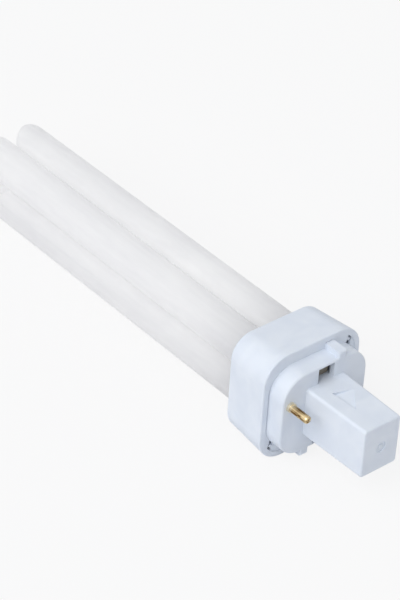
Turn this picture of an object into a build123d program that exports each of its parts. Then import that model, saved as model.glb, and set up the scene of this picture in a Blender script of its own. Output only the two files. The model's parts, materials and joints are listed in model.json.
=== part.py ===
from build123d import *
import os
from math import atan, degrees, radians, sqrt, tan

# Plug-in compact fluorescent lamp with two pins. Millimetres.
# The lamp lies along X: the plug points to +X and the glass to -X.
# The origin is on the axis, in the face that seats against the lamp holder.

# Glass: two U tubes side by side, each bent in an upright plane
tube_d = 12.0
limb_gap_y = 0.4  # between the two U tubes
limb_gap_z = 1.2  # between the two limbs of one U
tube_reach = 126.4  # far end of the bends behind the collar's rear face
bend_depth = 12.2  # squared end that joins two limbs
bend_round = 4.0
bend_edge_round = 3.4  # top and bottom of the squared end
bend_bulge = 0.1  # the blown end stands out this far from the limbs
limb_inset = 6.3  # closed limb ends ahead of the collar's rear face
limb_round = 3.0
bridge_d = 6.5  # short cross tube that joins the two lower limbs
bridge_stand = 7.0  # its axis behind the collar's rear face
seal_width = 7.4
seal_thick = 2.6
seal_round = 0.85
seal_reach = 3.0
seal_lead_pitch = 3.0

# Collar: drafted square shell that holds the glass
shoulder = 3.55  # collar around the glass at the rear
collar_flare = 1.45  # growth of each side from the rear face to the rim
collar_depth = 16.2
collar_corner_r = 8.5  # at the rim
collar_wall = 1.9
collar_floor = 1.6
collar_round = 1.2
rim_round = 0.4
limb_clear = 0.3
ledge = 1.5  # inner ring that the plug's flange seats on

# Cement that bonds the limbs into the collar
cement_depth = 3.0
bond_clear = 0.05

# Plug cap: flange, platform and hollow post in one moulding
seat_reach = 5.6  # platform face ahead of the collar's rim
recess_depth = 1.6  # flange face below the rim
flange_thick = 1.5
flange_clear = 0.1
moat_y = 0.3  # gap between rim and platform at the sides
moat_z = 2.1  # the same gap above and below
corner_ease = 1.4  # platform corners are rounder than the rim's
platform_wall = 1.0
platform_face = 1.8
platform_round = 0.7
post_root_width = 14.1
post_tip_width = 13.1
post_height = 16.0
post_length = 23.3
post_wall = 1.6
post_end = 1.6
post_edge_r = 1.0
post_tip_round = 0.6
chamber_reach = 4.2  # post walls carried on behind the platform face

# Keys that stop the lamp going into a holder for another wattage
key_width = 2.9
key_height = 1.9
key_offset = 5.7
key_round = 0.6

# Windows beside the post, and the three-cornered catch pockets in the post
window_width = 5.8
window_roof = 0.7
catch_start = 5.2  # deepest corner, ahead of the platform face
catch_side = 2.4  # the same corner, beside the centre line
catch_crest_lead = 2.1  # crest corner ahead of the deepest one
catch_crest_side = 3.8
catch_length = 9.0
catch_tip_side = 1.8
catch_depth = 1.1
catch_tip_depth = 0.6
catch_skin = 0.7  # plastic left under a pocket's deepest corner

# Gate mark in the post's end
gate_d = 3.6
gate_depth = 0.4
gate_nub_d = 1.3
gate_nub_height = 0.25

# Corner snap fingers of the collar, hooked over notches in the flange
snap_width = 1.6
snap_thick = 0.8
snap_gap = 0.5  # room for a finger to bend outwards
snap_relief = 0.4  # pocket in the wall behind a finger's tip
snap_length = 4.3
snap_root = 1.5
snap_barb = 0.4
snap_below_rim = 0.4
snap_clear = 0.1
seat_clear = 0.05

# Contact pins
pin_d = 2.35
pin_length = 7.7
pin_rise = 4.6
pin_tip_round = 0.9
pin_collar_d = 3.0
pin_collar_thick = 0.9
pin_lip_d = 2.9
pin_lip_thick = 0.5
pin_tail = 0.8
pin_side_clear = 0.45  # rolled lip to the platform's side wall
pin_hole_clear = 0.03
dent_depth = 0.4
dent_r = 0.9
dent_place = 4.6

# Wires
lead_d = 0.7
lead_clear = 0.1
lead_grip = 4.0  # wire inside a pin, ahead of the pin's tail
lead_rise = 2.0  # straight run out of a glass seal
bend_share = 0.45  # part of a run that one bend may use

# Starter: glow bottle in the post, capacitor behind the upper window
starter_clear = 0.8
starter_back = 0.6
starter_round = 1.4
starter_seal_length = 3.0
starter_seal_width = 5.2
starter_seal_thick = 2.2
starter_lead_pitch = 2.6
splice_d = 1.7
splice_length = 2.2
splice_stand = 0.9
capacitor_length = 5.0
capacitor_width = 6.4
capacitor_clear = 0.4
capacitor_round = 1.0
capacitor_lead_pitch = 3.6
capacitor_lead_rise = 0.9

# Places along the axis
rim_x = -seat_reach
rear_x = rim_x - collar_depth
far_x = rear_x - tube_reach
floor_x = rear_x + collar_floor
limb_x = rear_x + limb_inset
seal_x = limb_x + seal_reach
flange_front = rim_x - recess_depth
flange_back = flange_front - flange_thick
snap_root_x = flange_back - snap_length
ring_x = snap_root_x - snap_root
face_back = -platform_face
chamber_x = face_back - chamber_reach

# Places across the axis
limb_y = (tube_d + limb_gap_y) / 2
limb_z = (tube_d + limb_gap_z) / 2
limbs = [(y, z) for y in (-limb_y, limb_y) for z in (-limb_z, limb_z)]
collar_rear_side = 2 * tube_d + limb_gap_z + 2 * shoulder
collar_rear_r = collar_corner_r - collar_flare
rim_half = collar_rear_side / 2 + collar_flare
platform_y = rim_half - collar_wall - moat_y
platform_z = rim_half - collar_wall - moat_z
platform_r = collar_corner_r - collar_wall + corner_ease
post_z = post_height / 2
pin_y = platform_y - platform_wall - pin_lip_d / 2 - pin_side_clear
pin_r = pin_d / 2
corners = (45, 135, 225, 315)

# Room inside the post
cavity_end = post_length - post_end
cavity_z = post_z - catch_depth - catch_skin
starter_front = cavity_end - starter_clear


def post_half_width(x):
    return (post_root_width + (post_tip_width - post_root_width) * x / post_length) / 2


starter_r = post_half_width(cavity_end) - post_wall - starter_clear
starter_z = -cavity_z + starter_r + seat_clear
starter_seal_x = starter_back - starter_seal_length
splice_front = starter_seal_x - splice_stand
splice_back = splice_front - splice_length


def across(x):
    return Plane.YZ.offset(x)


def block(x0, x1, y0, y1, z0, z1):
    centre = Pos((x0 + x1) / 2, (y0 + y1) / 2, (z0 + z1) / 2)
    return centre * Box(x1 - x0, y1 - y0, z1 - z0)


def rod(x0, x1, y, z, r):
    return extrude(across(x0) * Pos(y, z) * Circle(r), amount=x1 - x0)


def half_turn(shape):
    return Rot(X=180) * shape


def collar_size(x, inset):
    grow = collar_flare * (x - rear_x) / collar_depth - inset
    return collar_rear_side + 2 * grow, collar_rear_r + grow


def drafted(x0, x1, inset):
    side, r = collar_size(x0, inset)
    draft = degrees(atan(collar_flare / collar_depth))
    return extrude(across(x0) * RectangleRounded(side, side, r), amount=x1 - x0, taper=-draft)


def corner_reach(x, inset):
    side, r = collar_size(x, inset)
    return (side / 2 - r) * sqrt(2) + r


snap_outer = corner_reach(flange_front, collar_wall) - snap_gap
snap_inner = snap_outer - snap_thick


def u_tube(y):
    section = Pos(far_x + bend_depth / 2, y) * RectangleRounded(bend_depth, tube_d + 2 * bend_bulge, bend_round)
    high = limb_z + tube_d / 2 + bend_bulge
    shape = extrude(Plane.XY.offset(-high) * section, amount=2 * high)
    ends = shape.faces().sort_by(Axis.Z)
    shape = fillet(ends[0].edges() + ends[-1].edges(), bend_edge_round)
    for z in (-limb_z, limb_z):
        limb = rod(far_x + bend_depth / 2, limb_x, y, z, tube_d / 2)
        shape += fillet(limb.edges().sort_by(Axis.X)[-1], limb_round)
    return shape


def glass_seal(y):
    seal = block(
        limb_x - limb_round, seal_x,
        y - seal_width / 2, y + seal_width / 2,
        limb_z - seal_thick / 2, limb_z + seal_thick / 2,
    )
    return fillet(seal.edges().filter_by(Axis.X), seal_round)


def discharge_tube():
    shape = u_tube(-limb_y) + u_tube(limb_y)
    bridge = Plane.XZ * Pos(rear_x - bridge_stand, -limb_z) * Circle(bridge_d / 2)
    shape += extrude(bridge, amount=limb_y, both=True)
    for y in (-limb_y, limb_y):
        shape += glass_seal(y)
    return shape


def snap_finger():
    half = snap_width / 2
    tip = rim_x - snap_below_rim
    finger = block(ring_x, tip, snap_inner, snap_outer, -half, half)
    hook_x = flange_front + seat_clear
    hook = Polyline((hook_x, snap_inner), (hook_x, snap_inner - snap_barb), (tip, snap_inner), close=True)
    return finger + extrude(make_face(hook), amount=half, both=True)


def collar():
    shell = drafted(rear_x, rim_x, 0)
    shell = fillet(shell.faces().sort_by(Axis.X)[0].edges(), collar_round)
    shell = fillet(shell.faces().sort_by(Axis.X)[-1].edges(), rim_round)
    shell -= drafted(floor_x, ring_x, collar_wall)
    shell -= drafted(ring_x, flange_back, collar_wall + ledge)
    shell -= drafted(flange_back, rim_x + rim_round, collar_wall)
    for y, z in limbs:
        shell -= rod(rear_x, floor_x, y, z, tube_d / 2 + limb_clear)
    half = snap_width / 2 + snap_clear
    channel_outer = corner_reach(snap_root_x, collar_wall)
    channel = block(snap_root_x, flange_back, snap_inner - ledge, channel_outer, -half, half)
    relief_outer = corner_reach(flange_front, collar_wall) + snap_relief
    relief = block(flange_back, rim_x - snap_below_rim, snap_outer, relief_outer, -half, half)
    for angle in corners:
        shell -= Rot(X=angle) * channel
        shell -= Rot(X=angle) * relief
    for angle in corners:
        shell += Rot(X=angle) * snap_finger()
    return shell


def tube_cement():
    pad = drafted(floor_x, floor_x + cement_depth, collar_wall + bond_clear)
    for y, z in limbs:
        pad -= rod(floor_x, floor_x + cement_depth, y, z, tube_d / 2 + bond_clear)
    return pad


def post_block(x0, x1, inset_y, inset_z):
    y0 = post_half_width(max(x0, 0)) - inset_y
    y1 = post_half_width(x1) - inset_y
    z = post_z - inset_z
    plan = make_face(Polyline((x0, -y0), (x1, -y1), (x1, y1), (x0, y0), close=True))
    return extrude(Plane.XY.offset(-z) * plan, amount=2 * z)


def rounded_post(x0, x1):
    shape = post_block(x0, x1, 0, 0)
    ends = shape.faces().sort_by(Axis.X)
    end_edges = ends[0].edges() + ends[-1].edges()
    return fillet([e for e in shape.edges() if e not in end_edges], post_edge_r)


def post_body():
    post = rounded_post(0, post_length)
    post = fillet(post.faces().sort_by(Axis.X)[-1].edges(), post_tip_round)
    post -= rod(post_length - gate_depth, post_length, 0, 0, gate_d / 2)
    nub_x = post_length - gate_depth
    return post + rod(nub_x, nub_x + gate_nub_height, 0, 0, gate_nub_d / 2)


def post_room():
    inset_z = post_z - cavity_z
    return post_block(0, cavity_end, post_wall, inset_z) + post_block(chamber_x, 0, post_wall, inset_z)


def platform_body():
    outline = RectangleRounded(2 * platform_y, 2 * platform_z, platform_r)
    body = extrude(across(flange_front) * outline, amount=-flange_front)
    return fillet(body.faces().sort_by(Axis.X)[-1].edges(), platform_round)


def platform_room():
    width = 2 * (platform_y - platform_wall)
    height = 2 * (platform_z - platform_wall)
    outline = RectangleRounded(width, height, platform_r - platform_wall)
    return extrude(across(flange_back) * outline, amount=face_back - flange_back)


def key_rib():
    half = key_width / 2
    rib = block(
        flange_front, 0,
        key_offset - half, key_offset + half,
        platform_z - platform_wall, platform_z + key_height,
    )
    return fillet(rib.faces().sort_by(Axis.X)[-1].edges().sort_by(Axis.Z)[1:], key_round)


def window():
    half = window_width / 2
    return block(face_back, 0, -half, half, post_z, platform_z - window_roof)


def catch_pocket():
    root = Vector(catch_start, -catch_side, post_z - catch_depth)
    crest = Vector(catch_start + catch_crest_lead, catch_crest_side, post_z)
    tip = Vector(catch_start + catch_length, -catch_tip_side, post_z - catch_tip_depth)
    plan = make_face(Polyline(*[(p.X, p.Y) for p in (root, crest, tip)], close=True))
    prism = extrude(Plane.XY.offset(post_z - catch_depth) * plan, amount=2 * catch_depth)
    floor = Plane(origin=root, x_dir=tip - root, z_dir=(tip - root).cross(crest - root))
    return split(prism, bisect_by=floor, keep=Keep.TOP)


def flange_notch():
    half = snap_width / 2 + snap_clear
    outer = corner_reach(rim_x, 0)
    return block(flange_back, flange_front, snap_inner - snap_clear, outer, -half, half)


def plug_cap():
    cap = drafted(flange_back, flange_front, collar_wall + flange_clear)
    cap += platform_body()
    for rib in (key_rib(), half_turn(key_rib())):
        cap += rib
    cap -= platform_room()
    cap += rounded_post(chamber_x, 0)
    cap += post_body()
    cap -= post_room()
    for cut in (window(), catch_pocket()):
        cap -= cut
        cap -= half_turn(cut)
    for angle in corners:
        cap -= Rot(X=angle) * flange_notch()
    pin_hole = rod(face_back, 0, -pin_y, pin_rise, pin_r + pin_hole_clear)
    return cap - pin_hole - half_turn(pin_hole)


def contact_pin():
    tail_x = face_back - pin_lip_thick - pin_tail
    pin = rod(tail_x, pin_length, -pin_y, pin_rise, pin_r)
    pin = fillet(pin.edges().sort_by(Axis.X)[-1], pin_tip_round)
    pin += rod(0, pin_collar_thick, -pin_y, pin_rise, pin_collar_d / 2)
    pin += rod(face_back - pin_lip_thick, face_back, -pin_y, pin_rise, pin_lip_d / 2)
    pin -= rod(tail_x, tail_x + lead_grip, -pin_y, pin_rise, lead_d / 2 + lead_clear)
    dent_y = -pin_y - pin_r + dent_depth - dent_r
    return pin - Pos(dent_place, dent_y, pin_rise) * Cylinder(dent_r, pin_d)


def bent_wire(points):
    radii = []
    for a, b, c in zip(points, points[1:], points[2:]):
        before = Vector(b) - Vector(a)
        after = Vector(c) - Vector(b)
        run = min(before.length, after.length)
        radii.append(bend_share * run / tan(radians(before.get_angle(after)) / 2))
    path = FilletPolyline(*points, radius=radii)
    start = Plane(origin=path @ 0, z_dir=path % 0)
    return sweep(start * Circle(lead_d / 2), path=path)


def pin_lead(side, pin_place_z):
    y = side * (limb_y + seal_lead_pitch / 2)
    tail_x = face_back - pin_lip_thick - pin_tail
    return bent_wire([
        (seal_x, y, limb_z),
        (seal_x + lead_rise, y, limb_z),
        (tail_x - lead_grip, side * pin_y, pin_place_z),
        (tail_x + lead_grip - lead_clear, side * pin_y, pin_place_z),
    ])


def starter_lead(side):
    y = side * (limb_y - seal_lead_pitch / 2)
    end_y = side * starter_lead_pitch / 2
    return bent_wire([
        (seal_x, y, limb_z),
        (seal_x + lead_rise, y, limb_z),
        (splice_back - lead_rise, end_y, starter_z),
        (starter_seal_x, end_y, starter_z),
    ])


def splice(side):
    y = side * starter_lead_pitch / 2
    tube = rod(splice_back, splice_front, y, starter_z, splice_d / 2)
    return tube - rod(splice_back, splice_front, y, starter_z, lead_d / 2 + bond_clear)


def starter_bulb():
    bulb = rod(starter_back, starter_front, 0, starter_z, starter_r)
    ends = bulb.edges().sort_by(Axis.X)
    bulb = fillet(ends[0], starter_round)
    bulb = fillet(bulb.edges().sort_by(Axis.X)[-1], starter_r - starter_round)
    return bulb + block(
        starter_seal_x, starter_back + starter_round,
        -starter_seal_width / 2, starter_seal_width / 2,
        starter_z - starter_seal_thick / 2, starter_z + starter_seal_thick / 2,
    )


capacitor_front = face_back - capacitor_clear
capacitor_back = capacitor_front - capacitor_length
capacitor_low = post_z + seat_clear
capacitor_high = platform_z - platform_wall - capacitor_clear


def starter_capacitor():
    half = capacitor_width / 2
    body = block(capacitor_back, capacitor_front, -half, half, capacitor_low, capacitor_high)
    return fillet(body.edges(), capacitor_round)


def capacitor_lead(side):
    y = side * capacitor_lead_pitch / 2
    z = (capacitor_low + capacitor_high) / 2
    down_x = capacitor_back - capacitor_lead_rise
    rest_z = starter_z + splice_d / 2 + lead_d / 2 + seat_clear
    return bent_wire([
        (capacitor_back, y, z),
        (down_x, y, z),
        (down_x, y, rest_z + lead_rise),
        (splice_front, side * starter_lead_pitch / 2, rest_z),
    ])


left_pin = contact_pin()
pieces = {
    "discharge_tube": discharge_tube(),
    "collar": collar(),
    "tube_cement": tube_cement(),
    "plug_cap": plug_cap(),
    "contact_pin_left": left_pin,
    "contact_pin_right": half_turn(left_pin),
    "pin_lead_left": pin_lead(-1, pin_rise),
    "pin_lead_right": pin_lead(1, -pin_rise),
    "starter_bulb": starter_bulb(),
    "starter_lead_left": starter_lead(-1),
    "starter_lead_right": starter_lead(1),
    "splice_left": splice(-1),
    "splice_right": splice(1),
    "starter_capacitor": starter_capacitor(),
    "capacitor_lead_left": capacitor_lead(-1),
    "capacitor_lead_right": capacitor_lead(1),
}

os.makedirs("parts", exist_ok=True)
for name, piece in pieces.items():
    export_step(piece, f"parts/{name}.step")
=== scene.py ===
import json
import math
import bmesh
import bpy
from mathutils import Matrix, Quaternion, Vector


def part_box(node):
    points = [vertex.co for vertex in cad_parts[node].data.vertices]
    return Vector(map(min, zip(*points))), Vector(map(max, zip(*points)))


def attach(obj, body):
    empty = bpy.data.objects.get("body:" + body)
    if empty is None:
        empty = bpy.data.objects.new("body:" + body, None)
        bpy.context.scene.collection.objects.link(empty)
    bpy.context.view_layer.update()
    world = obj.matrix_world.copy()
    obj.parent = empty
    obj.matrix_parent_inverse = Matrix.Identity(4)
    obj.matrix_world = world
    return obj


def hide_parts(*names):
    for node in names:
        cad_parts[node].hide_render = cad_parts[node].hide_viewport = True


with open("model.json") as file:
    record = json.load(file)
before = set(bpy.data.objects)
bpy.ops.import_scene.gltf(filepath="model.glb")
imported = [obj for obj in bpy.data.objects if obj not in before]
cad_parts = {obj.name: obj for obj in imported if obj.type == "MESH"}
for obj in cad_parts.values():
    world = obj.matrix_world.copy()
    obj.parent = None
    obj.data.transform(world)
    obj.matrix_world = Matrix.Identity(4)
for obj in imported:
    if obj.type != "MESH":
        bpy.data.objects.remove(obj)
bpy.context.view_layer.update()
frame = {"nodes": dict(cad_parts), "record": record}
nodes = frame["nodes"]
print("frame: loaded", len(nodes), "nodes")


def toLinear(hexColour):
    channels = [int(hexColour[i:i + 2], 16) / 255 for i in (1, 3, 5)]
    return [c / 12.92 if c <= 0.04045 else ((c + 0.055) / 1.055) ** 2.4 for c in channels] + [1.0]


def perMetre(sizeMm):
    return 1000.0 / sizeMm  # texture scale that gives features of this size


def addNode(tree, kind, settings=None, links=None):
    node = tree.nodes.new(kind)
    for name, value in (settings or {}).items():
        if isinstance(name, int) or name in node.inputs:
            node.inputs[name].default_value = value
        else:
            setattr(node, name, value)
    for name, output in (links or {}).items():
        tree.links.new(output, node.inputs[name])
    return node


def newMaterial(name):
    material = bpy.data.materials.new(name)
    material.use_nodes = True
    tree = material.node_tree
    tree.nodes.clear()
    place = addNode(tree, "ShaderNodeTexCoord").outputs["Object"]
    return material, tree, place


# coated soda glass: thin clear tube over a white powder coat, hollow, so light from behind glows through
glassLook = {
    "milk": "#fcfcfc",
    "shade": "#f5f5f6",
    "contrast": (0.35, 0.65),  # of the pattern, from the shade to the milk
    "throughShare": 0.64,  # of the light that the powder passes on
    "cloudMm": 22.0,  # thick and thin places of the powder coat
    "cloudShare": 0.6,
    "streakMm": 1.6,  # runs of the coat down the tube
    "streakShare": 0.4,
    "streakDraw": 0.12,  # pattern scale along the tube, under 1 draws the runs out
    "powderMm": 0.5,  # real grains are far finer, drawn coarser to show
    "rough": (0.46, 0.58),
    "ior": 1.52,
    "specular": 0.1,
    "clearWeight": 0.35,  # clear glass over the powder
    "clearRough": 0.12,
}


def coatedGlass(look):
    material, tree, place = newMaterial("soda_glass_powder_coated")
    stretched = addNode(tree, "ShaderNodeMapping", {"Scale": (look["streakDraw"], 1.0, 1.0)},
                        {"Vector": place})
    cloud = addNode(tree, "ShaderNodeTexNoise",
                    {"Scale": perMetre(look["cloudMm"]), "Detail": 3.0}, {"Vector": place})
    streak = addNode(tree, "ShaderNodeTexNoise",
                     {"Scale": perMetre(look["streakMm"]), "Detail": 2.0},
                     {"Vector": stretched.outputs[0]})
    powder = addNode(tree, "ShaderNodeTexNoise",
                     {"Scale": perMetre(look["powderMm"]), "Detail": 1.0}, {"Vector": place})
    runs = addNode(tree, "ShaderNodeMath", {"operation": "MULTIPLY", 1: look["streakShare"]},
                   {0: streak.outputs[0]})
    blend = addNode(tree, "ShaderNodeMath", {"operation": "MULTIPLY_ADD", 1: look["cloudShare"]},
                    {0: cloud.outputs[0], 2: runs.outputs[0]})
    low, high = look["contrast"]
    spread = addNode(tree, "ShaderNodeMapRange",
                     {"From Min": low, "From Max": high}, {"Value": blend.outputs[0]})
    colour = addNode(tree, "ShaderNodeMix",
                     {"data_type": "RGBA", 6: toLinear(look["shade"]), 7: toLinear(look["milk"])},
                     {0: spread.outputs[0]})
    smooth, rough = look["rough"]
    powdered = addNode(tree, "ShaderNodeMapRange",
                       {"To Min": smooth, "To Max": rough}, {"Value": powder.outputs[0]})
    wall = addNode(tree, "ShaderNodeBsdfPrincipled", {
        "IOR": look["ior"], "Specular IOR Level": look["specular"],
        "Coat Weight": look["clearWeight"], "Coat Roughness": look["clearRough"], "Coat IOR": look["ior"],
    }, {"Base Color": colour.outputs[2], "Roughness": powdered.outputs[0]})
    through = addNode(tree, "ShaderNodeBsdfTranslucent", links={"Color": colour.outputs[2]})
    mixed = addNode(tree, "ShaderNodeMixShader", {0: look["throughShare"]},
                    {1: wall.outputs[0], 2: through.outputs[0]})
    addNode(tree, "ShaderNodeOutputMaterial", links={"Surface": mixed.outputs[0]})
    return material


# moulded PBT: satin from a spark-eroded mould, faint flow clouds, soft cool white
plasticLook = {
    "light": "#e3e9f1",
    "dull": "#dbe2ec",
    "contrast": (0.3, 0.7),  # of the pattern, from dull to light
    "flowMm": 8.0,
    "flowTwist": 0.6,
    "grainMm": 0.4,  # the mould's grain is near 0.1 mm, drawn coarser to show
    "grainDepthMm": 0.04,
    "grainStrength": 0.25,
    "rough": (0.46, 0.58),
    "ior": 1.55,
    "specular": 0.35,
    "milky": 0.1,  # share of the light that spreads under the surface
    "milkyMm": (0.6, 0.6, 0.7),
}


def mouldedPlastic(look):
    material, tree, place = newMaterial("PBT_moulded_satin")
    flow = addNode(tree, "ShaderNodeTexNoise",
                   {"Scale": perMetre(look["flowMm"]), "Detail": 2.0, "Distortion": look["flowTwist"]},
                   {"Vector": place})
    low, high = look["contrast"]
    spread = addNode(tree, "ShaderNodeMapRange",
                     {"From Min": low, "From Max": high}, {"Value": flow.outputs[0]})
    colour = addNode(tree, "ShaderNodeMix",
                     {"data_type": "RGBA", 6: toLinear(look["dull"]), 7: toLinear(look["light"])},
                     {0: spread.outputs[0]})
    grain = addNode(tree, "ShaderNodeTexNoise",
                    {"Scale": perMetre(look["grainMm"]), "Detail": 2.0}, {"Vector": place})
    smooth, rough = look["rough"]
    grained = addNode(tree, "ShaderNodeMapRange",
                      {"To Min": smooth, "To Max": rough}, {"Value": grain.outputs[0]})
    bump = addNode(tree, "ShaderNodeBump",
                   {"Strength": look["grainStrength"], "Distance": look["grainDepthMm"] / 1000},
                   {"Height": grain.outputs[0]})
    shader = addNode(tree, "ShaderNodeBsdfPrincipled", {
        "IOR": look["ior"], "Specular IOR Level": look["specular"], "Subsurface Weight": look["milky"],
        "Subsurface Radius": [mm / 1000 for mm in look["milkyMm"]], "Subsurface Scale": 1.0,
    }, {"Base Color": colour.outputs[2], "Roughness": grained.outputs[0], "Normal": bump.outputs[0]})
    addNode(tree, "ShaderNodeOutputMaterial", links={"Surface": shader.outputs[0]})
    return material


# drawn brass: bright wire with lines along its length; a painted highlight makes it pale where it leaves
# the platform, and the dark streaks down the shaft are part tarnished brass, part painted reflection of
# dark surroundings
brassLook = {
    "shoulder": "#ece3cc",
    "bright": "#ead5a8",
    # dark brown streaks: part tarnished brass, part painted reflection of dark surroundings
    "tarnishAndPaintedReflection": "#6e4c1e",
    "contrast": (0.185, 0.325),  # of the pattern, from bright brass to the dark streaks of tarnish and painted reflection
    "tarnishAndPaintedReflectionMm": 6.0,
    "paintedHighlightMm": (0.7, 1.8),  # painted highlight at the pin's base, fading into the shaft over this span ahead of the platform
    "lineMm": 0.7,  # drawing lines are finer, drawn coarser to show
    "lineDraw": 0.02,  # pattern scale along the pin, under 1 draws the lines out
    "lineDepthMm": 0.02,
    "lineStrength": 0.2,
    "rough": (0.24, 0.42),
}


def drawnBrass(look):
    material, tree, place = newMaterial("brass_drawn_bright")
    stretched = addNode(tree, "ShaderNodeMapping", {"Scale": (look["lineDraw"], 1.0, 1.0)},
                        {"Vector": place})
    lines = addNode(tree, "ShaderNodeTexNoise",
                    {"Scale": perMetre(look["lineMm"]), "Detail": 2.0},
                    {"Vector": stretched.outputs[0]})
    patches = addNode(tree, "ShaderNodeTexNoise",
                      {"Scale": perMetre(look["tarnishAndPaintedReflectionMm"]), "Detail": 3.0}, {"Vector": place})
    # patches times drawing lines place the dark streaks, part tarnish, part painted reflection
    tarnishAndPaintedReflectionMask = addNode(tree, "ShaderNodeMath", {"operation": "MULTIPLY"},
                   {0: patches.outputs[0], 1: lines.outputs[0]})
    along = addNode(tree, "ShaderNodeSeparateXYZ", links={0: place})
    # painted highlight: pale at the pin's base, fading out along the pin
    start, stop = [mm / 1000 for mm in look["paintedHighlightMm"]]
    paintedHighlightFade = addNode(tree, "ShaderNodeMapRange",
                     {"From Min": start, "From Max": stop}, {"Value": along.outputs[0]})
    low, high = look["contrast"]
    spread = addNode(tree, "ShaderNodeMapRange",
                     {"From Min": low, "From Max": high}, {"Value": tarnishAndPaintedReflectionMask.outputs[0]})
    shaft = addNode(tree, "ShaderNodeMix",
                    {"data_type": "RGBA", 6: toLinear(look["bright"]), 7: toLinear(look["tarnishAndPaintedReflection"])},
                    {0: spread.outputs[0]})
    # the painted highlight colour lies over the base of the pin
    colour = addNode(tree, "ShaderNodeMix", {"data_type": "RGBA", 6: toLinear(look["shoulder"])},
                     {0: paintedHighlightFade.outputs[0], 7: shaft.outputs[2]})
    smooth, rough = look["rough"]
    lined = addNode(tree, "ShaderNodeMapRange",
                    {"To Min": smooth, "To Max": rough}, {"Value": lines.outputs[0]})
    bump = addNode(tree, "ShaderNodeBump",
                   {"Strength": look["lineStrength"], "Distance": look["lineDepthMm"] / 1000},
                   {"Height": lines.outputs[0]})
    shader = addNode(tree, "ShaderNodeBsdfPrincipled", {"Metallic": 1.0}, {
        "Base Color": colour.outputs[2], "Roughness": lined.outputs[0], "Normal": bump.outputs[0]})
    addNode(tree, "ShaderNodeOutputMaterial", links={"Surface": shader.outputs[0]})
    return material


# tinned copper wire: dipped in solder, so a dull silver with soft runs
wireLook = {"bright": "#cfcdc6", "dull": "#9d9b95", "runMm": 0.6, "rough": (0.25, 0.45)}


def tinnedWire(look):
    material, tree, place = newMaterial("copper_wire_tinned")
    runs = addNode(tree, "ShaderNodeTexNoise",
                   {"Scale": perMetre(look["runMm"]), "Detail": 3.0}, {"Vector": place})
    colour = addNode(tree, "ShaderNodeMix",
                     {"data_type": "RGBA", 6: toLinear(look["dull"]), 7: toLinear(look["bright"])},
                     {0: runs.outputs[0]})
    smooth, rough = look["rough"]
    dulled = addNode(tree, "ShaderNodeMapRange",
                     {"To Min": smooth, "To Max": rough}, {"Value": runs.outputs[0]})
    shader = addNode(tree, "ShaderNodeBsdfPrincipled", {"Metallic": 1.0},
                     {"Base Color": colour.outputs[2], "Roughness": dulled.outputs[0]})
    addNode(tree, "ShaderNodeOutputMaterial", links={"Surface": shader.outputs[0]})
    return material


# blown lead glass: clear, thin and glossy with slow waves from the flame
bottleLook = {
    "tint": "#e4ecec",
    "clear": 0.9,
    "ior": 1.56,
    "waveMm": 4.0,
    "waveDepthMm": 0.1,
    "waveStrength": 0.2,
    "rough": (0.02, 0.08),
}


def blownGlass(look):
    material, tree, place = newMaterial("lead_glass_blown_clear")
    wave = addNode(tree, "ShaderNodeTexNoise",
                   {"Scale": perMetre(look["waveMm"]), "Detail": 1.0}, {"Vector": place})
    smooth, rough = look["rough"]
    waved = addNode(tree, "ShaderNodeMapRange",
                    {"To Min": smooth, "To Max": rough}, {"Value": wave.outputs[0]})
    bump = addNode(tree, "ShaderNodeBump",
                   {"Strength": look["waveStrength"], "Distance": look["waveDepthMm"] / 1000},
                   {"Height": wave.outputs[0]})
    shader = addNode(tree, "ShaderNodeBsdfPrincipled", {
        "Base Color": toLinear(look["tint"]), "IOR": look["ior"], "Transmission Weight": look["clear"],
    }, {"Roughness": waved.outputs[0], "Normal": bump.outputs[0]})
    addNode(tree, "ShaderNodeOutputMaterial", links={"Surface": shader.outputs[0]})
    return material


# dipped epoxy: brown resin coat that ran and set, glossy with slow dimples
resinLook = {
    "light": "#8a8170",
    "dark": "#544a3a",
    "ior": 1.55,
    "rough": 0.3,
    "runMm": 2.2,
    "runDepthMm": 0.2,
    "runStrength": 0.3,
}


def dippedResin(look):
    material, tree, place = newMaterial("epoxy_dipped_brown")
    runs = addNode(tree, "ShaderNodeTexNoise",
                   {"Scale": perMetre(look["runMm"]), "Detail": 3.0}, {"Vector": place})
    colour = addNode(tree, "ShaderNodeMix",
                     {"data_type": "RGBA", 6: toLinear(look["dark"]), 7: toLinear(look["light"])},
                     {0: runs.outputs[0]})
    bump = addNode(tree, "ShaderNodeBump",
                   {"Strength": look["runStrength"], "Distance": look["runDepthMm"] / 1000},
                   {"Height": runs.outputs[0]})
    shader = addNode(tree, "ShaderNodeBsdfPrincipled", {"IOR": look["ior"], "Roughness": look["rough"]},
                     {"Base Color": colour.outputs[2], "Normal": bump.outputs[0]})
    addNode(tree, "ShaderNodeOutputMaterial", links={"Surface": shader.outputs[0]})
    return material


# basing cement: filled resin, poured and baked, so matt, tan and gritty
cementLook = {
    "light": "#a08a66",
    "dark": "#6b573c",
    "patchMm": 5.0,
    "rough": 0.85,
    "gritMm": 0.5,
    "gritDepthMm": 0.2,
    "gritStrength": 0.6,
}


def basingCement(look):
    material, tree, place = newMaterial("basing_cement_baked")
    grit = addNode(tree, "ShaderNodeTexNoise",
                   {"Scale": perMetre(look["gritMm"]), "Detail": 3.0}, {"Vector": place})
    patch = addNode(tree, "ShaderNodeTexNoise",
                    {"Scale": perMetre(look["patchMm"]), "Detail": 2.0}, {"Vector": place})
    colour = addNode(tree, "ShaderNodeMix",
                     {"data_type": "RGBA", 6: toLinear(look["dark"]), 7: toLinear(look["light"])},
                     {0: patch.outputs[0]})
    bump = addNode(tree, "ShaderNodeBump",
                   {"Strength": look["gritStrength"], "Distance": look["gritDepthMm"] / 1000},
                   {"Height": grit.outputs[0]})
    shader = addNode(tree, "ShaderNodeBsdfPrincipled", {"Roughness": look["rough"]},
                     {"Base Color": colour.outputs[2], "Normal": bump.outputs[0]})
    addNode(tree, "ShaderNodeOutputMaterial", links={"Surface": shader.outputs[0]})
    return material


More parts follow.
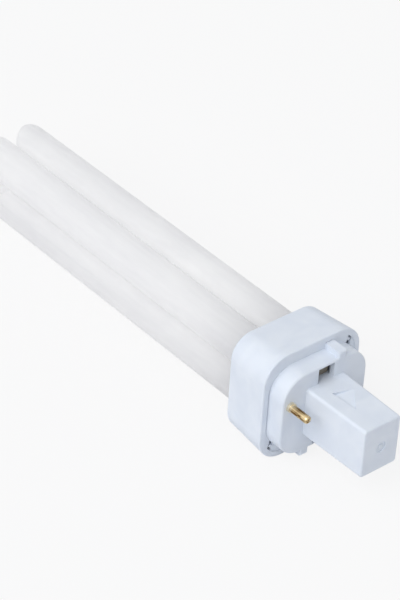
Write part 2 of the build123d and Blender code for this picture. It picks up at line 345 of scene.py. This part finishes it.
# each record slot gets its real finish
finishes = {
    "coated_glass": coatedGlass(glassLook),
    "housing_plastic": mouldedPlastic(plasticLook),
    "pin_brass": drawnBrass(brassLook),
    "tinned_wire": tinnedWire(wireLook),
    "starter_glass": blownGlass(bottleLook),
    "capacitor_dip": dippedResin(resinLook),
    "basing_cement": basingCement(cementLook),
}
for part in frame["record"]["subparts"]:
    slots = nodes[part["node"]].data.materials
    slots.clear()
    slots.append(finishes[part["material_slot"]])
print("finishes:", len(finishes), "materials on", len(nodes), "nodes")


def roundOff(shape, parts, affect, roundMm, steps):
    bmesh.ops.bevel(shape, geom=parts, affect=affect, offset=roundMm / 1000, offset_type="OFFSET",
                    segments=steps, profile=0.5, material=-1)


def addPiece(name, shape, slot):
    bmesh.ops.recalc_face_normals(shape, faces=shape.faces)
    mesh = bpy.data.meshes.new(name)
    shape.to_mesh(mesh)
    shape.free()
    mesh.materials.append(finishes[slot])
    piece = bpy.data.objects.new(name, mesh)
    bpy.context.scene.collection.objects.link(piece)
    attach(piece, "root")
    return piece


# blown glass in place of the plain solid: the far ends turn tight corners with no swelling
tubeShape = {
    "tubeMm": 12.0,
    "swellMm": 0.1,  # the solid's squared ends stand out this far from its limbs
    "around": 96,
    "limbRoundMm": 3.0,
    "limbSteps": 3,
    "cornerRoundMm": 1.8,  # outside of a far corner, its inside is a mitre
    "cornerSteps": 16,
    "sealMm": (6.0, 7.4, 2.6),  # flat pinch, half inside the limb's closed end
    "bridgeMm": 6.5,
    "bridgeBehindMm": 7.0,  # its axis behind the collar
    "mergeMm": 0.001,
    "sharpDegrees": 35.0,  # edges over this angle stay crisp
}


def drawOut(shape, ring, axis, distance):
    # extrudes a ring of edges to a plane across the axis, and gives the new ring
    made = bmesh.ops.extrude_edge_only(shape, edges=ring)["geom"]
    verts = [item for item in made if isinstance(item, bmesh.types.BMVert)]
    plane = Matrix.Translation(axis * distance) @ Matrix.Scale(0, 4, axis)
    bmesh.ops.transform(shape, matrix=plane, verts=verts)
    return [item for item in made if isinstance(item, bmesh.types.BMEdge) and item.is_boundary]


def mirrorAll(shape, axis, mergeMm=0.0):
    everything = shape.verts[:] + shape.edges[:] + shape.faces[:]
    bmesh.ops.mirror(shape, geom=everything, merge_dist=mergeMm / 1000, axis=axis)


def blownTubes(shape):
    low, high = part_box("discharge_tube")
    radius = shape["tubeMm"] / 2000
    limbY = high.y - radius - shape["swellMm"] / 1000
    limbZ = high.z - radius - shape["swellMm"] / 1000
    sealSize = Vector(shape["sealMm"]) / 1000
    closedX = high.x - sealSize.x / 2
    cornerX = low.x + radius
    tubes = bmesh.new()
    # a ring in a corner's mitre, drawn out to the limb's closed end and down to the U's middle
    mitre = Matrix.Shear("XY", 4, (-1, 0)) @ Matrix.Rotation(math.pi / 2, 4, "Y")
    bmesh.ops.create_circle(tubes, segments=shape["around"], radius=radius, matrix=mitre)
    corner = tubes.edges[:]
    outside = [edge for edge in corner if sum(vert.co.z for vert in edge.verts) > 0]
    closedEnd = drawOut(tubes, corner, Vector((1, 0, 0)), closedX - cornerX)
    drawOut(tubes, corner, Vector((0, 0, 1)), -limbZ)
    bmesh.ops.edgeloop_fill(tubes, edges=closedEnd)
    roundOff(tubes, closedEnd, "EDGES", shape["limbRoundMm"], shape["limbSteps"])
    roundOff(tubes, outside, "EDGES", shape["cornerRoundMm"], shape["cornerSteps"])
    bmesh.ops.translate(tubes, verts=tubes.verts, vec=(cornerX, -limbY, limbZ))
    mirrorAll(tubes, "Z", shape["mergeMm"])
    seal = Matrix.LocRotScale(Vector((closedX, -limbY, limbZ)), None, sealSize)
    bmesh.ops.create_cube(tubes, size=1.0, matrix=seal)
    mirrorAll(tubes, "Y")
    # the bridge joins the two lower limbs
    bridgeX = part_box("collar")[0].x - shape["bridgeBehindMm"] / 1000
    bridgeRadius = shape["bridgeMm"] / 2000
    bridge = Matrix.Translation((bridgeX, 0, -limbZ)) @ Matrix.Rotation(math.pi / 2, 4, "X")
    bmesh.ops.create_cone(tubes, cap_ends=True, segments=shape["around"], depth=2 * limbY,
                          radius1=bridgeRadius, radius2=bridgeRadius, matrix=bridge)
    piece = addPiece("blown_tubes", tubes, "coated_glass")
    piece.data.shade_smooth()
    piece.data.set_sharp_from_angle(angle=math.radians(shape["sharpDegrees"]))
    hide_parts("discharge_tube")


blownTubes(tubeShape)
print("glass: blown")

# shallow lip that closes the gap between the platform and the rim, but for a slot at each snap finger
lipShape = {
    "belowRimMm": 0.25,
    "thickMm": 0.8,
    "wallMm": 1.9,  # of the collar, at the rim
    "clearMm": 0.02,
    "rimRoundMm": 6.5,
    "platformMm": (15.3, 13.5),  # half sizes across and up
    "platformRoundMm": 7.9,
    "arcSteps": 12,  # of a round corner, two of them are a snap finger's slot
    "nearMm": 0.01,  # counts as on the diagonal
}


def platformLip(shape):
    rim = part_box("collar")[1]
    inside = rim.y * 1000 - shape["wallMm"] - shape["clearMm"]
    outlines = [((inside, inside), shape["rimRoundMm"]), (shape["platformMm"], shape["platformRoundMm"])]
    # a sheet's x and y become the lamp's y and z
    across = Matrix(((0, 0, 1, 0), (1, 0, 0, 0), (0, 1, 0, 0), (0, 0, 0, 1)))
    lip = bmesh.new()
    for (halfAcross, halfUp), roundMm in outlines:
        size = Matrix.Diagonal((halfAcross / 1000, halfUp / 1000, 1, 1))
        sheet = bmesh.ops.create_grid(lip, x_segments=1, y_segments=1, size=1.0, matrix=across @ size)
        roundOff(lip, sheet["verts"], "VERTICES", roundMm, shape["arcSteps"])
    bmesh.ops.delete(lip, geom=lip.faces[:], context="FACES_ONLY")
    bmesh.ops.bridge_loops(lip, edges=lip.edges[:])
    # the snap fingers stand on the rim's diagonal, at the upper right and the lower left
    fingers = [vert for vert in lip.verts if abs(vert.co.y - vert.co.z) < shape["nearMm"] / 1000]
    slots = [face for vert in fingers for face in vert.link_faces]
    bmesh.ops.delete(lip, geom=slots, context="FACES")
    bmesh.ops.translate(lip, verts=lip.verts, vec=(rim.x - shape["belowRimMm"] / 1000, 0, 0))
    made = bmesh.ops.extrude_face_region(lip, geom=lip.faces[:])["geom"]
    back = [item for item in made if isinstance(item, bmesh.types.BMVert)]
    bmesh.ops.translate(lip, verts=back, vec=(-shape["thickMm"] / 1000, 0, 0))
    addPiece("platform_lip", lip, "housing_plastic")


platformLip(lipShape)
print("lip: fitted")

# pale floor under the two places where the lamp rests, the collar's rim and the far ends
floorLook = {
    "paper": "#f0f0f2",
    "rough": (0.8, 1.0),
    "gritMm": 3.0,  # paper fibres are finer, drawn coarser to show
    "white": "#fafafa",
    "whiteShare": 0.9,  # the rest keeps the lamp's shadow
    "side": 8.0,  # metres
}


def paleRays(tree):
    # camera, glossy and transmission rays see the pale backdrop
    rays = addNode(tree, "ShaderNodeLightPath")
    seen = addNode(tree, "ShaderNodeMath", {"operation": "MAXIMUM"},
                   {0: rays.outputs["Is Camera Ray"], 1: rays.outputs["Is Glossy Ray"]})
    return addNode(tree, "ShaderNodeMath", {"operation": "MAXIMUM"},
                   {0: seen.outputs[0], 1: rays.outputs["Is Transmission Ray"]}).outputs[0]


def paperSweep(look):
    material, tree, place = newMaterial("paper_sweep_matt")
    grit = addNode(tree, "ShaderNodeTexNoise", {"Scale": perMetre(look["gritMm"])}, {"Vector": place})
    smooth, rough = look["rough"]
    gritty = addNode(tree, "ShaderNodeMapRange",
                     {"To Min": smooth, "To Max": rough}, {"Value": grit.outputs[0]})
    paper = addNode(tree, "ShaderNodeBsdfDiffuse", {"Color": toLinear(look["paper"])},
                    {"Roughness": gritty.outputs[0]})
    white = addNode(tree, "ShaderNodeEmission", {"Color": toLinear(look["white"]), "Strength": 1.0})
    share = addNode(tree, "ShaderNodeMath", {"operation": "MULTIPLY", 1: look["whiteShare"]},
                    {0: paleRays(tree)})
    mixed = addNode(tree, "ShaderNodeMixShader", links={
        0: share.outputs[0], 1: paper.outputs[0], 2: white.outputs[0]})
    addNode(tree, "ShaderNodeOutputMaterial", links={"Surface": mixed.outputs[0]})
    return material


def paleFloor(look):
    collarLow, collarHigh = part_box("collar")
    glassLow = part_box("discharge_tube")[0]
    slope = math.atan2(glassLow.z - collarLow.z, collarHigh.x - glassLow.x)
    shape = bmesh.new()
    bmesh.ops.create_grid(shape, x_segments=1, y_segments=1, size=look["side"] / 2)
    bmesh.ops.rotate(shape, verts=shape.verts, matrix=Matrix.Rotation(slope, 3, "Y"))
    bmesh.ops.translate(shape, verts=shape.verts, vec=(collarHigh.x, 0, collarLow.z))
    mesh = bpy.data.meshes.new("floor")
    shape.to_mesh(mesh)
    shape.free()
    mesh.materials.append(paperSweep(look))
    floor = bpy.data.objects.new("floor", mesh)
    bpy.context.scene.collection.objects.link(floor)


paleFloor(floorLook)
print("floor: laid")

# soft studio light: even pale surroundings and one large soft box, high on the left pin's side
lightLook = {
    "surround": "#f4f6fa",
    "surroundStrength": 0.62,
    "white": "#fafafa",
    "boxFrom": (0.08, -0.72, 0.70),  # direction, seen from the origin
    "boxDistance": 1.3,  # metres
    "boxSide": 1.0,  # metres
    "boxPower": 10.0,  # watts
}


def studioLight(look):
    scene = bpy.context.scene
    world = bpy.data.worlds.new("studio")
    world.use_nodes = True
    tree = world.node_tree
    tree.nodes.clear()
    glow = addNode(tree, "ShaderNodeBackground",
                   {"Color": toLinear(look["surround"]), "Strength": look["surroundStrength"]})
    white = addNode(tree, "ShaderNodeBackground", {"Color": toLinear(look["white"]), "Strength": 1.0})
    mixed = addNode(tree, "ShaderNodeMixShader",
                    links={0: paleRays(tree), 1: glow.outputs[0], 2: white.outputs[0]})
    addNode(tree, "ShaderNodeOutputWorld", links={"Surface": mixed.outputs[0]})
    scene.world = world
    lamp = bpy.data.lights.new("soft_box", "AREA")
    lamp.size = look["boxSide"]
    lamp.energy = look["boxPower"]
    box = bpy.data.objects.new("soft_box", lamp)
    direction = Vector(look["boxFrom"]).normalized()
    box.location = direction * look["boxDistance"]
    box.rotation_euler = (-direction).to_track_quat("-Z", "Y").to_euler()
    scene.collection.objects.link(box)


studioLight(lightLook)
print("light: set")

# camera as the photograph was taken, with a long lens
cameraLook = {
    "place": (0.38228, -0.38477, 0.42467),  # metres
    "aim": (-0.05721, 0.00290, 0.00005),
    "rollDegrees": 3.503,
    "lensMm": 149.8,
    "sensorMm": 36.0,
}


def photoCamera(look):
    camera = bpy.data.objects.new("camera", bpy.data.cameras.new("camera"))
    camera.data.lens = look["lensMm"]
    camera.data.sensor_width = look["sensorMm"]
    camera.location = look["place"]
    towards = (Vector(look["aim"]) - camera.location).normalized()
    camera.rotation_mode = "QUATERNION"
    roll = Quaternion(towards, math.radians(-look["rollDegrees"]))
    camera.rotation_quaternion = roll @ towards.to_track_quat("-Z", "Y")
    bpy.context.scene.collection.objects.link(camera)
    bpy.context.scene.camera = camera


photoCamera(cameraLook)
bpy.context.scene.view_settings.view_transform = "Standard"
print("camera: placed")
